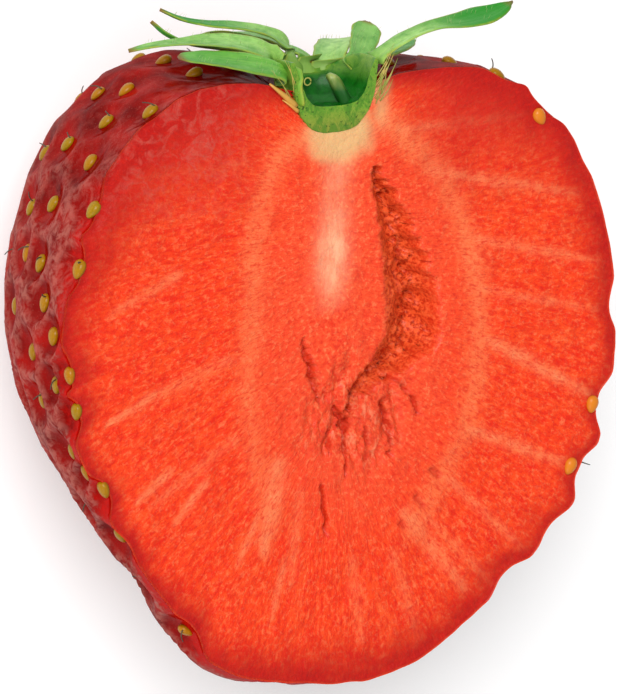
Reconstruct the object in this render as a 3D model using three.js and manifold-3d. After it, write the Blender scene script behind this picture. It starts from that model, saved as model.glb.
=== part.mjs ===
// Half of a large ripe strawberry, cut lengthwise, lying on its rounded back with the cut face up.
// Millimetres. +Z is up, square to the cut face, and +Y runs along the fruit to its leafy end.
// The origin is on the small flat spot that the fruit rests on, below the middle of the fruit.

import * as THREE from 'three';
import { mergeVertices } from 'three/addons/utils/BufferGeometryUtils.js';
import Module from 'manifold-3d';

const wasm = await Module();
wasm.setup();

// The fruit. The knife passed a little above the long axis, so this half is the larger one.
const CUT_HEIGHT = 24.6;
const AXIS_BELOW_CUT = 2.5;
const MIDDLE = new THREE.Vector3(0, 0, CUT_HEIGHT - AXIS_BELOW_CUT);
const SKIN_DETAIL = 18;

// Radius from MIDDLE at each angle from the leafy end, along five lines that run to the tip:
// the right side, then every 45 degrees below it and round to the left side.
const ANGLES_FROM_TOP = [0, 9, 20, 33, 48, 65, 82, 100, 118, 136, 152, 166, 180];
const LINE_STEP = 45;
const RADII = [
  [19.6, 20.9, 22.4, 24.0, 24.2, 23.4, 22.8, 22.6, 22.9, 22.3, 22.4, 23.5, 23.3],
  [19.6, 20.7, 22.2, 23.7, 24.0, 23.5, 22.9, 22.3, 21.9, 21.5, 21.9, 22.9, 23.3],
  [19.6, 20.2, 21.6, 22.9, 23.5, 23.4, 22.8, 21.9, 20.9, 20.4, 20.9, 22.2, 23.3],
  [19.6, 20.2, 22.9, 25.6, 25.9, 24.7, 23.4, 21.8, 19.8, 18.8, 20.8, 22.4, 23.3],
  [19.6, 20.2, 22.4, 24.3, 24.4, 23.2, 22.3, 21.1, 20.4, 20.9, 23.2, 23.4, 23.3],
];

// The seeds, each in a dimple of the skin. The dimples are shallow on the shoulder.
const SEED_LENGTH = 1.3;
const SEED_WIDTH = 0.95;
const SEED_THICKNESS = 0.7;
const SEED_LIFT = 0.15;
const SEEDS_ROUND_WHOLE_FRUIT = 400;
const SEED_SPACING = 3.1;
const DIMPLE_RADIUS = 1.9;
const DIMPLE_DEPTHS = { angles: [0, 35, 70, 110, 180], values: [0.25, 0.35, 0.7, 0.9, 0.75] };
const BARE_BELOW = 1.0;
const FULL_DEPTH_ABOVE = 2.6;
const CALYX_COVER = 13;

// Seeds that show in the view of the cut face: angle from the leafy end, and turn below the right side.
const PLACED_SEEDS = [
  [24, 161], [36, -177], [35, 161], [41, 169], [48, 176], [55, -174], [57, 168], [65, -174], [67, 162],
  [67, 170], [73, 175], [78, 180], [83, 170], [84, -174], [87, 180], [92, 171], [91, -174], [101, 179],
  [108, -173.5], [105, -178], [121, -178], [145, -173.5], [43, -7.5], [103, -5.5], [116, -6],
];

// The cleft and the torn slots in the core, seen from above: points along each, half widths and depths.
const TEARS = [
  {
    spine: [[2.3, 14.5], [3.2, 12.3], [4.0, 10.3], [4.6, 8.1], [4.9, 6.1], [5.4, 4.0], [5.1, 2.4],
      [3.9, 1.1], [2.2, -0.3], [0.9, -1.6], [-0.2, -3.2]],
    halfWidths: [0.15, 0.85, 1.3, 1.6, 1.9, 2.1, 1.9, 1.3, 0.75, 0.45, 0.12],
    depth: 2.4,
  },
  {
    spine: [[-3.3, 2.8], [-2.8, 1.1], [-2.3, -0.4], [-1.9, -2.1]],
    halfWidths: [0.1, 0.3, 0.4, 0.1],
    depth: 1.2,
  },
  {
    spine: [[-0.7, -3.6], [0.1, -4.3], [0.3, -5.9], [0.2, -7.4]],
    halfWidths: [0.1, 0.4, 0.3, 0.1],
    depth: 1.1,
  },
  {
    spine: [[2.9, -2.4], [3.5, -3.7], [3.8, -5.0], [3.7, -6.4]],
    halfWidths: [0.1, 0.3, 0.25, 0.1],
    depth: 0.9,
  },
  {
    spine: [[-1.8, -8.2], [-1.5, -9.6], [-1.4, -10.9], [-1.5, -12.3]],
    halfWidths: [0.1, 0.25, 0.25, 0.1],
    depth: 0.8,
  },
  {
    spine: [[4.2, -1.1], [5.1, -2.1], [5.8, -3.1], [6.3, -4.4]],
    halfWidths: [0.1, 0.2, 0.3, 0.1],
    depth: 0.8,
  },
];
const TEAR_CLEARANCE = 0.6;

// The calyx cup, turned about a line along Y, with the stub of the stem standing in it.
const CUP_AXIS = { x: -0.4, z: 22.9 };
const CUP_SIDES = 20;
const CUP_OUTSIDE = [[0, 16.9], [1.5, 17.1], [2.5, 17.9], [3.0, 19.2], [3.1, 20.6], [3.15, 21.5]];
const CUP_INSIDE = [[2.5, 21.7], [2.5, 20.6], [2.35, 19.7], [2.0, 19.1], [1.3, 18.8], [0, 18.7]];
const STUB = { radius: 0.8, top: 21.3, foot: 17.9, offset: 0.8, lean: 7, sides: 10 };
const GAP = 0.3;

// The sepals, from the base out to the tip. Each has points along its middle, the way its upper face looks
// at the base and at the tip, its greatest width, its outline and how far its edges curl up.
const SEPAL_THICKNESS = 0.6;
const SEPAL_STATIONS = 11;
const SEPAL_COLUMNS = [-1, -0.5, 0, 0.5, 1];
const OUTLINES = {
  pointed: { at: [0, 0.2, 0.5, 0.8, 1], width: [0.34, 0.66, 1, 0.64, 0.1] },
  blunt: { at: [0, 0.25, 0.6, 0.88, 1], width: [0.34, 0.7, 1, 0.86, 0.42] },
  round: { at: [0, 0.3, 0.6, 0.85, 1], width: [0.4, 0.55, 0.95, 0.96, 0.4] },
  square: { at: [0, 0.3, 0.6, 0.85, 1], width: [0.45, 0.8, 1, 0.98, 0.8] },
  twisted: { at: [0, 0.2, 0.5, 0.78, 1], width: [0.34, 0.75, 0.72, 1, 0.12] },
};
const SEPALS = [
  {
    name: 'sepal_left_front', width: 2.9, outline: 'blunt', curl: 0.08,
    spine: [[-4.05, 21.2, 23.85], [-4.85, 21.7, 23.8], [-6.2, 22.1, 23.55], [-8.0, 22.45, 23.2],
      [-9.9, 22.75, 22.8], [-11.7, 22.95, 22.4]],
    faces: [[-0.3, 0.9, 0.4], [0, 1, 0.15]],
  },
  {
    name: 'sepal_left_middle', width: 2.9, outline: 'pointed', curl: 0.1,
    spine: [[-3.9, 22.0, 21.75], [-4.8, 22.75, 21.5], [-6.3, 23.2, 20.8], [-8.2, 23.4, 20.0],
      [-10.2, 23.35, 19.1], [-12.0, 23.15, 18.3], [-13.2, 22.85, 17.7]],
    faces: [[-0.4, 0.9, 0.2], [0, 1, 0]],
  },
  {
    name: 'sepal_left_upper', width: 2.3, outline: 'pointed', curl: 0.12,
    spine: [[-1.4, 22.0, 19.3], [-2.1, 22.95, 19.0], [-3.2, 23.5, 18.6], [-5.0, 23.9, 18.0],
      [-7.05, 24.15, 17.5], [-8.8, 24.6, 17.1], [-10.3, 25.35, 16.8]],
    faces: [[-0.4, 0.8, 0.3], [0.31, 0.85, -0.07]],
  },
  {
    name: 'sepal_left_curled', width: 2.6, outline: 'pointed', curl: 0.12,
    spine: [[-2.9, 21.55, 20.15], [-4.3, 22.15, 19.0], [-6.2, 22.45, 17.8], [-8.0, 22.75, 16.7],
      [-9.4, 23.4, 15.9], [-10.3, 24.3, 15.4]],
    faces: [[-0.3, 1, -0.2], [0.5, 0.9, 0]],
  },
  {
    name: 'sepal_back_left', width: 3.1, outline: 'pointed', curl: 0.1,
    spine: [[0.05, 21.35, 18.95], [-0.7, 21.9, 17.7], [-1.9, 22.5, 16.3], [-3.0, 22.7, 14.6],
      [-4.1, 22.5, 12.8], [-4.9, 21.9, 11.2]],
    faces: [[-0.1, 0.9, -0.4], [-0.1, 1, -0.4]],
  },
  {
    name: 'sepal_back_blunt', width: 2.9, outline: 'square', curl: 0.08,
    spine: [[1.8, 21.4, 19.2], [2.8, 21.8, 17.9], [3.9, 21.9, 16.5], [4.9, 21.7, 14.9], [5.8, 21.3, 13.3]],
    faces: [[0.1, 0.9, -0.3], [0.2, 0.9, -0.5]],
  },
  {
    name: 'sepal_back_round', width: 2.1, outline: 'round', curl: 0.08,
    spine: [[3.2, 21.6, 20.7], [3.75, 21.95, 20.15], [4.35, 22.35, 19.5], [4.95, 22.8, 18.7], [5.5, 23.35, 17.9]],
    faces: [[0.2, 0.6, 0.5], [0.2, 0.9, 0.3]],
  },
  {
    name: 'sepal_right_back', width: 2.0, outline: 'pointed', curl: 0.08,
    spine: [[3.3, 21.7, 22.4], [5.0, 21.7, 21.6], [6.8, 21.8, 20.3], [8.4, 21.9, 18.6], [9.5, 21.7, 17.1]],
    faces: [[0.1, 1, 0], [0.2, 1, -0.15]],
  },
  {
    name: 'sepal_right_long', width: 2.5, outline: 'twisted', curl: 0.1,
    spine: [[3.1, 21.9, 23.6], [4.0, 22.5, 23.7], [5.4, 23.2, 23.9], [7.4, 23.8, 24.1], [9.8, 24.0, 24.3],
      [12.0, 24.4, 24.2], [13.8, 25.0, 24.0]],
    faces: [[-0.2, 1, 0], [-0.2, 0.9, 0.3]],
  },
];

// The finish of each piece.
const FRUIT_FINISH = { color: 0xd8241c, roughness: 0.32, metalness: 0 };
const CALYX_FINISH = { color: 0x7fae4a, roughness: 0.6, metalness: 0 };
const SEPAL_FINISH = { color: 0x4f9a3c, roughness: 0.6, metalness: 0 };

// A smooth curve through the values, level at both ends.
function smoothCurve(knots, values, at) {
  const last = knots.length - 1;
  const slope = (i) => {
    const inside = i > 0 && i < last;
    return inside ? (values[i + 1] - values[i - 1]) / (knots[i + 1] - knots[i - 1]) : 0;
  };
  let i = 0;
  while (i < last - 1 && at > knots[i + 1]) i += 1;
  const span = knots[i + 1] - knots[i];
  const s = (at - knots[i]) / span;
  return (
    values[i] * (1 + 2 * s) * (1 - s) ** 2 +
    slope(i) * span * s * (1 - s) ** 2 +
    values[i + 1] * s * s * (3 - 2 * s) +
    slope(i + 1) * span * s * s * (s - 1)
  );
}

// Radius of the smooth fruit, without its dimples, along a unit direction from its middle.
function smoothRadius(direction) {
  const fromTop = THREE.MathUtils.radToDeg(Math.acos(THREE.MathUtils.clamp(direction.y, -1, 1)));
  const turn = Math.abs(THREE.MathUtils.radToDeg(Math.atan2(-direction.z, direction.x)));
  let radius = 0;
  RADII.forEach((radii, line) => {
    const gap = Math.abs(turn - line * LINE_STEP) / LINE_STEP;
    if (gap < 1) {
      radius += Math.cos((gap * Math.PI) / 2) ** 2 * smoothCurve(ANGLES_FROM_TOP, radii, fromTop);
    }
  });
  return radius;
}

function directionAt(fromTop, turn) {
  const polar = THREE.MathUtils.degToRad(fromTop);
  const round = THREE.MathUtils.degToRad(turn);
  return new THREE.Vector3(
    Math.sin(polar) * Math.cos(round),
    Math.cos(polar),
    -Math.sin(polar) * Math.sin(round),
  );
}

function pointOnSkin(direction, radius = smoothRadius(direction)) {
  return direction.clone().multiplyScalar(radius).add(MIDDLE);
}

// The directions of all seeds: the placed ones, then a golden spiral from the leafy end to the tip,
// a little uneven, with no two closer than SEED_SPACING.
function seedDirections() {
  const directions = PLACED_SEEDS.map(([fromTop, turn]) => directionAt(fromTop, turn));
  const points = directions.map((direction) => pointOnSkin(direction));
  const goldenTurn = 180 * (3 - Math.sqrt(5));
  for (let i = 0; i < SEEDS_ROUND_WHOLE_FRUIT; i += 1) {
    const share = (i + 0.5) / SEEDS_ROUND_WHOLE_FRUIT;
    const fromTop = THREE.MathUtils.radToDeg(Math.acos(1 - 2 * share)) + 0.9 * Math.sin(12.9 * i);
    const direction = directionAt(fromTop, goldenTurn * i + 1.1 * Math.sin(7.7 * i));
    const point = pointOnSkin(direction);
    const onThisHalf = point.z < CUT_HEIGHT - SEED_WIDTH && point.z > BARE_BELOW && fromTop > CALYX_COVER;
    if (onThisHalf && points.every((other) => other.distanceTo(point) > SEED_SPACING)) {
      directions.push(direction);
      points.push(point);
    }
  }
  return directions;
}

// How deep the skin dips at a direction: one round dimple about each seed, none where the fruit rests.
function dimpleDepth(direction, seeds) {
  const height = pointOnSkin(direction).z;
  const clear = THREE.MathUtils.smoothstep(height, BARE_BELOW, FULL_DEPTH_ABOVE);
  const fromTop = THREE.MathUtils.radToDeg(Math.acos(THREE.MathUtils.clamp(direction.y, -1, 1)));
  const depth = smoothCurve(DIMPLE_DEPTHS.angles, DIMPLE_DEPTHS.values, fromTop);
  const radius = smoothRadius(direction);
  const nearest = Math.min(...seeds.map((seed) => seed.distanceTo(direction))) * radius;
  const away = Math.min(nearest / DIMPLE_RADIUS, 1);
  return clear * depth * Math.cos((away * Math.PI) / 2) ** 2;
}

function toSolid(geometry) {
  const bare = new THREE.BufferGeometry();
  bare.setAttribute('position', geometry.getAttribute('position').clone());
  bare.setIndex(geometry.getIndex());
  const welded = mergeVertices(bare);
  return new wasm.Manifold(
    new wasm.Mesh({
      numProp: 3,
      vertProperties: Float32Array.from(welded.getAttribute('position').array),
      triVerts: Uint32Array.from(welded.getIndex().array),
    }),
  );
}

function toMesh(name, solid, finish) {
  const { vertProperties, triVerts } = solid.getMesh();
  const geometry = new THREE.BufferGeometry();
  geometry.setAttribute('position', new THREE.BufferAttribute(vertProperties, 3));
  geometry.setIndex(new THREE.BufferAttribute(triVerts, 1));
  geometry.computeVertexNormals();
  const mesh = new THREE.Mesh(geometry, new THREE.MeshStandardMaterial(finish));
  mesh.name = name;
  return mesh;
}

// Joins rings of points into one closed solid. A ring runs along its upper face and back along its lower
// face, and both faces are split along the same diagonals.
function loft(rings) {
  const size = rings[0].length;
  const half = size / 2;
  const end = (rings.length - 1) * size;
  const index = [];
  for (let ring = 0; ring + 1 < rings.length; ring += 1) {
    for (let k = 0; k < size; k += 1) {
      const a = ring * size + k;
      const b = ring * size + ((k + 1) % size);
      const upperPair = [a, b, b + size, a, b + size, a + size];
      const lowerPair = [a, b, a + size, b, b + size, a + size];
      index.push(...(k < half ? upperPair : lowerPair));
    }
  }
  for (let k = 0; k + 1 < half; k += 1) {
    const [a, b, c, d] = [k, k + 1, size - 2 - k, size - 1 - k];
    index.push(a, c, b, a, d, c);
    index.push(end + a, end + b, end + c, end + a, end + c, end + d);
  }
  const geometry = new THREE.BufferGeometry().setFromPoints(rings.flat());
  geometry.setIndex(index);
  return toSolid(geometry);
}

// The half space between the surface that the fruit rests on and the cut.
function slab() {
  const wide = 120;
  return toSolid(new THREE.BoxGeometry(wide, wide, CUT_HEIGHT).translate(0, 0, CUT_HEIGHT / 2));
}

function wholeFruit(seeds) {
  const ball = new THREE.IcosahedronGeometry(1, SKIN_DETAIL);
  ball.deleteAttribute('normal');
  ball.deleteAttribute('uv');
  const skin = mergeVertices(ball);
  const position = skin.getAttribute('position');
  for (let i = 0; i < position.count; i += 1) {
    const direction = new THREE.Vector3().fromBufferAttribute(position, i).normalize();
    const point = pointOnSkin(direction, smoothRadius(direction) - dimpleDepth(direction, seeds));
    position.setXYZ(i, point.x, point.y, point.z);
  }
  return toSolid(skin);
}

// One seed: a flattened drop of twelve faces, sunk to about half its thickness in its dimple.
function seedSolid(direction, seeds) {
  const seed = new THREE.SphereGeometry(0.5, 6, 2).scale(SEED_WIDTH, SEED_THICKNESS, SEED_LENGTH);
  const towardTip = new THREE.Vector3(0, -1, 0).addScaledVector(direction, direction.y).normalize();
  const across = new THREE.Vector3().crossVectors(direction, towardTip);
  const place = pointOnSkin(direction, smoothRadius(direction) - dimpleDepth(direction, seeds) + SEED_LIFT);
  seed.applyMatrix4(new THREE.Matrix4().makeBasis(across, direction, towardTip).setPosition(place));
  return toSolid(seed);
}

// A tear in the cut face: a trench with a rounded floor that is deepest where it is widest.
function tearSolid({ spine, halfWidths, depth }) {
  const widest = Math.max(...halfWidths);
  const rings = spine.map(([x, y], i) => {
    const before = spine[Math.max(i - 1, 0)];
    const after = spine[Math.min(i + 1, spine.length - 1)];
    const along = new THREE.Vector2(after[0] - before[0], after[1] - before[1]).normalize();
    const floor = -depth * Math.sqrt(halfWidths[i] / widest);
    const section = [[-1, TEAR_CLEARANCE], [1, TEAR_CLEARANCE], [1, 0], [0.6, floor], [-0.6, floor], [-1, 0]];
    return section.map(([side, height]) => new THREE.Vector3(
      x + along.y * side * halfWidths[i],
      y - along.x * side * halfWidths[i],
      CUT_HEIGHT + height,
    ));
  });
  return loft(rings);
}

// A solid turned about the cup's axis, from radius and height pairs that start and end on the axis.
function turned(profile, sides) {
  const points = profile.map(([radius, y]) => new THREE.Vector2(radius, y));
  return toSolid(new THREE.LatheGeometry(points, sides).translate(CUP_AXIS.x, 0, CUP_AXIS.z));
}

function socketSolid() {
  const grown = CUP_OUTSIDE.map(([radius, y]) => [radius === 0 ? 0 : radius + GAP, y - GAP]);
  const clearOfSkin = 24;
  const rim = grown.at(-1)[0];
  return turned([...grown, [rim, clearOfSkin], [0, clearOfSkin]], CUP_SIDES);
}

function berryHalf() {
  const seeds = seedDirections();
  const cuts = [socketSolid(), ...TEARS.map(tearSolid)];
  const flesh = cuts.reduce((solid, cut) => solid.subtract(cut), wholeFruit(seeds).intersect(slab()));
  return seeds.reduce((solid, seed) => solid.add(seedSolid(seed, seeds)), flesh);
}

function calyxCup() {
  const stub = new THREE.CylinderGeometry(STUB.radius, STUB.radius, STUB.top - STUB.foot, STUB.sides);
  stub.rotateZ(THREE.MathUtils.degToRad(-STUB.lean));
  stub.translate(CUP_AXIS.x + STUB.offset, (STUB.top + STUB.foot) / 2, CUP_AXIS.z);
  return turned([...CUP_OUTSIDE, ...CUP_INSIDE], CUP_SIDES).add(toSolid(stub)).intersect(slab());
}

function sepalSolid({ spine, faces, width, outline, curl }) {
  const curve = new THREE.CatmullRomCurve3(spine.map((p) => new THREE.Vector3(...p)), false, 'centripetal');
  const { at, width: shares } = OUTLINES[outline];
  const baseFace = new THREE.Vector3(...faces[0]);
  const tipFace = new THREE.Vector3(...faces[1]);
  const rings = [];
  for (let station = 0; station < SEPAL_STATIONS; station += 1) {
    const s = station / (SEPAL_STATIONS - 1);
    const centre = curve.getPointAt(s);
    const along = curve.getTangentAt(s);
    const across = new THREE.Vector3().crossVectors(baseFace.clone().lerp(tipFace, s), along).normalize();
    const out = new THREE.Vector3().crossVectors(along, across);
    const halfWidth = (width / 2) * smoothCurve(at, shares, s);
    const pointAt = (column, side) => centre.clone()
      .addScaledVector(across, -column * halfWidth)
      .addScaledVector(out, curl * column * column * halfWidth + (side * SEPAL_THICKNESS) / 2);
    const upper = SEPAL_COLUMNS.map((column) => pointAt(column, 1));
    const lower = SEPAL_COLUMNS.map((column) => pointAt(-column, -1));
    rings.push([...upper, ...lower]);
  }
  return loft(rings);
}

const strawberry = new THREE.Group();
strawberry.add(toMesh('berry_half', berryHalf(), FRUIT_FINISH));
strawberry.add(toMesh('calyx_cup', calyxCup(), CALYX_FINISH));
SEPALS.forEach((sepal) => strawberry.add(toMesh(sepal.name, sepalSolid(sepal), SEPAL_FINISH)));

export default strawberry;
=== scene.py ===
import itertools
import math

import bmesh
import bpy
import numpy as np
from mathutils import Matrix, Vector


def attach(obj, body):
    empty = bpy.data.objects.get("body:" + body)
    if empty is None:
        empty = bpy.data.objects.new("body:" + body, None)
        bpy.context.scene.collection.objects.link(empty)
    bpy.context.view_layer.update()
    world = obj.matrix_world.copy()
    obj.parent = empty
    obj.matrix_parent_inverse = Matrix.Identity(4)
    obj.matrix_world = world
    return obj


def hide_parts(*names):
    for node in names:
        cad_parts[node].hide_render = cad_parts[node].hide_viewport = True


# Half of a large ripe strawberry, lying on its rounded back with the moist cut face up.
# All sizes and places below are millimetres in the part's frame, and MM turns them into metres.

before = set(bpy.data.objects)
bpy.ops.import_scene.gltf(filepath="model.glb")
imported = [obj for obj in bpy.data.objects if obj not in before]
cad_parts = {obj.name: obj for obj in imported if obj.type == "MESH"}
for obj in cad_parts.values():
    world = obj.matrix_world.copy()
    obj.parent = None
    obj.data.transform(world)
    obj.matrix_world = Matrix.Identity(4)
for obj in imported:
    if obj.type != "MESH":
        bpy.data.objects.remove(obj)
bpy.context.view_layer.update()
MM = 0.001

# The view: the photograph's frame, its scale at the cut face and the way to the camera.
PHOTO_SIZE = (617, 694)
MM_PER_PIXEL = 0.070
LOOK_PIXEL = (345, 372)
CAMERA_YAW = 29.0
CAMERA_PITCH = 14.0
CAMERA_DISTANCE = 320.0
SENSOR_MM = 36.0

# The fruit, with the same driving sizes as its solid.
CUT_HEIGHT = 24.6
AXIS_BELOW_CUT = 2.5
MIDDLE = np.array([0.0, 0.0, CUT_HEIGHT - AXIS_BELOW_CUT])
ANGLES_FROM_TOP = (0, 9, 20, 33, 48, 65, 82, 100, 118, 136, 152, 166, 180)
LINE_STEP = 45
RADII = (
    (19.6, 20.9, 22.4, 24.0, 24.2, 23.4, 22.8, 22.6, 22.9, 22.3, 22.4, 23.5, 23.3),
    (19.6, 20.7, 22.2, 23.7, 24.0, 23.5, 22.9, 22.3, 21.9, 21.5, 21.9, 22.9, 23.3),
    (19.6, 20.2, 21.6, 22.9, 23.5, 23.4, 22.8, 21.9, 20.9, 20.4, 20.9, 22.2, 23.3),
    (19.6, 20.2, 22.9, 25.6, 25.9, 24.7, 23.4, 21.8, 19.8, 18.8, 20.8, 22.4, 23.3),
    (19.6, 20.2, 22.4, 24.3, 24.4, 23.2, 22.3, 21.1, 20.4, 20.9, 23.2, 23.4, 23.3),
)

# Seeds and the dimples that they sit in.
SEED_LENGTH = 1.3
SEED_WIDTH = 0.95
SEED_THICKNESS = 0.72
SEEDS_ROUND_WHOLE_FRUIT = 400
SEED_SPACING = 3.1
DIMPLE_RADIUS = 1.9
DIMPLE_ANGLES = (0, 35, 70, 110, 180)
DIMPLE_DEPTHS = (0.25, 0.35, 0.7, 0.9, 0.75)
RIDGE_WIDTH = 1.3
BARE_BELOW = 1.0
FULL_DEPTH_ABOVE = 2.6
CALYX_COVER = 13
SEED_ROWS = 11
SEED_SIDES = 14
SEED_SUNK = 0.1
SEED_TURN = math.radians(36)
# Seeds near the rim: angle from the calyx and turn round the fruit.
PLACED_SEEDS = (
    (24, 161), (36, -177), (35, 161), (41, 169), (48, 176), (55, -174), (57, 168), (65, -174), (67, 162),
    (67, 170), (73, 175), (78, 180), (83, 170), (84, -174), (87, 180), (92, 171), (91, -174), (101, 179),
    (108, -173.5), (105, -178), (121, -178), (145, -173.5), (43, -7.5), (103, -5.5), (116, -6),
)
# The last of them stand in the cut itself: x, y and bearing.
SEEDS_IN_CUT = ((15.8, 16.7, 30), (20.5, -4.9, -10), (18.7, -9.3, -25))
TINT_IN_CUT = 2.0
SHARE_WITH_STYLE = 0.45

# The calyx cup about its axis along Y: radius and height pairs of its outside and its hollow.
CUP_AXIS = (-0.75, 22.9)
CUP_OUTSIDE = ((0, 16.65), (1.2, 16.85), (2.1, 17.5), (2.8, 18.5), (3.15, 19.5), (3.35, 20.6), (3.5, 21.5))
CUP_INSIDE = ((3.3, 21.7), (2.75, 20.6), (2.5, 19.8), (2.1, 19.2), (1.2, 18.75), (0, 18.7))
CUP_ROWS = 64
CUP_SIDES = 96
CUP_SQUARENESS = 3.5
CUP_RISE_AT_CUT = 0.6
CUP_FALL_AT_BACK = 0.9
STUB_RADIUS = 0.5
STUB_FOOT = 18.6
STUB_TOP = 21.0
STUB_OFFSET = 1.9
STUB_LEAN = 30.0
STUB_ROWS = 16
STUB_SIDES = 20

# Raw fibres, slivers and a small ring of the cup's wall on the cut face beside it.
STRANDS = 20
RING_PLACE = (-2.95, 20.9)
RING_RADIUS = 0.26
RING_WIRE = 0.05
SLIVERS = (((-3.9, 19.3), (-5.9, 21.0), 0.27), ((-3.7, 18.9), (-4.9, 19.8), 0.16))

# The tears of the cut face: points along each, half widths and the greatest depth.
CLEFT = (
    ((2.3, 14.5), (3.2, 12.3), (4.0, 10.3), (4.6, 8.1), (5.1, 6.1), (5.6, 4.1), (5.5, 2.2), (4.2, 0.8),
     (2.5, -0.4), (1.1, -1.6), (-0.1, -3.2)),
    (0.15, 0.85, 1.3, 1.6, 1.95, 2.3, 2.35, 1.6, 1.0, 0.55, 0.1),
    2.1,
)
SLOTS = (
    (((-3.3, 2.6), (-2.8, 1.1), (-2.3, -0.4), (-1.8, -2.2)), (0.08, 0.22, 0.38, 0.08), 1.2),
    (((-0.6, -2.6), (0.0, -3.6), (0.3, -4.6), (0.2, -6.2), (0.2, -7.6)), (0.1, 0.45, 0.3, 0.14, 0.05), 1.1),
    (((1.5, -0.9), (0.7, -1.8), (0.5, -2.6)), (0.12, 0.4, 0.1), 0.9),
    (((2.9, -2.4), (3.5, -3.6), (3.8, -5.0), (3.7, -6.6)), (0.06, 0.26, 0.16, 0.05), 0.9),
    (((3.7, -0.6), (4.9, -1.8), (5.8, -3.0), (6.3, -4.4)), (0.08, 0.16, 0.26, 0.05), 0.8),
    (((-1.8, -8.0), (-1.5, -9.6), (-1.4, -10.9), (-1.5, -12.3)), (0.06, 0.2, 0.22, 0.05), 0.8),
    (((1.6, -4.0), (1.9, -5.2), (1.8, -6.6)), (0.05, 0.16, 0.04), 0.5),
    (((-1.3, -3.6), (-1.1, -5.0), (-1.2, -6.4)), (0.04, 0.14, 0.04), 0.4),
    (((7.2, -8.0), (8.0, -8.9)), (0.2, 0.05), 0.4),
    (((5.9, -9.9), (6.5, -10.9)), (0.16, 0.05), 0.3),
    (((4.6, -11.6), (5.2, -12.6)), (0.16, 0.05), 0.3),
)
# The torn field below the cleft.
RAGGED_CENTRE = (1.2, -3.6)
RAGGED_REACH = (5.8, 6.4)

# Pale fibres of the cut face: start, end, half width and strength.
STREAKS = (
    ((-14.6, 0.2), (-18.6, -1.6), 0.30, 0.9), ((-13.6, -5.4), (-16.4, -7.4), 0.30, 0.9),
    ((-11.0, -6.6), (-13.4, -9.3), 0.30, 0.8), ((-6.9, -9.8), (-8.6, -13.0), 0.30, 0.8),
    ((-4.6, -13.0), (-5.8, -17.2), 0.30, 0.7), ((-13.0, 8.3), (-18.0, 6.2), 0.40, 0.6),
    ((-9.0, 1.9), (-15.5, -0.2), 0.50, 0.4), ((-7.5, 15.6), (-16.0, 15.4), 0.40, 0.3),
    ((-5.2, -6.2), (-6.4, -12.2), 0.80, 0.8), ((-8.8, -3.9), (-15.0, -7.6), 0.40, 0.4),
    ((-3.6, -8.4), (-4.2, -15.0), 0.50, 0.4), ((0.6, -13.8), (1.4, -20.0), 0.50, 0.4),
    ((3.9, -13.8), (6.2, -20.6), 0.45, 0.4), ((6.8, 13.7), (19.2, 10.8), 0.45, 0.7),
    ((10.9, 8.3), (20.8, 5.7), 0.40, 0.6), ((11.8, 0.9), (20.6, -4.3), 0.45, 0.9),
    ((4.4, 16.8), (15.2, 17.0), 0.40, 0.6), ((10.2, -5.5), (19.2, -9.5), 0.45, 0.8),
    ((5.0, -11.0), (10.0, -17.4), 0.60, 0.7), ((8.6, -9.0), (14.9, -15.1), 0.40, 0.5),
    ((11.0, 4.7), (20.9, 2.1), 0.35, 0.5), ((6.9, -11.7), (12.6, -17.6), 0.35, 0.4),
)
# The paler lines round the core.
CORE_RING_LEFT = (
    (-3.1, 17.2), (-5.5, 15.3), (-6.5, 13.0), (-7.1, 9.5), (-7.1, 6.0), (-7.5, 2.5), (-7.6, -1.0),
    (-7.0, -5.4), (-6.0, -9.9),
)
CORE_RING_RIGHT = (
    (3.2, 18.0), (5.2, 16.0), (7.6, 13.7), (9.3, 10.3), (10.5, 6.2), (11.1, 2.5), (10.8, -1.9),
    (9.8, -5.4), (7.7, -8.9), (5.7, -12.3),
)

# The pith: how bright it is by height. Its cream end, the core and the pale patch beside the cup.
PITH_HEIGHTS = (3.6, 5.4, 7.6, 9.4, 12.0, 15.5)
PITH_BRIGHT = (0.0, 0.3, 0.85, 0.9, 0.42, 0.45)
PITH_WIDTH = 1.2
CREAM_CENTRE = (-0.3, 16.9)
CREAM_REACH = (3.0, 2.1)
CORE_CENTRE = (1.2, 3.0)
CORE_REACH = (9.6, 15.5)
PALE_BESIDE_CUP = 2.9

# How far the deep red of the skin reaches in from the rim, by bearing from the calyx toward the right.
RIM_BEARINGS = (0, 25, 60, 100, 150, 180, 215, 250, 285, 315, 340, 360)
RIM_REACH = (1.0, 2.8, 2.2, 1.1, 2.0, 2.6, 1.4, 1.0, 2.0, 3.8, 3.6, 1.0)

# The mesh of the fruit: fibre lines round it, rings across the cut face and rows down the skin.
COLUMNS = 480
FACE_RINGS = 108
SKIN_ROWS = 92
CORE_TOP = 16.6
CORE_FOOT = -4.2
CORE_X = -0.5
RIM_DROP = 0.12
FAR_FROM_RIM = 9.0

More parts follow.
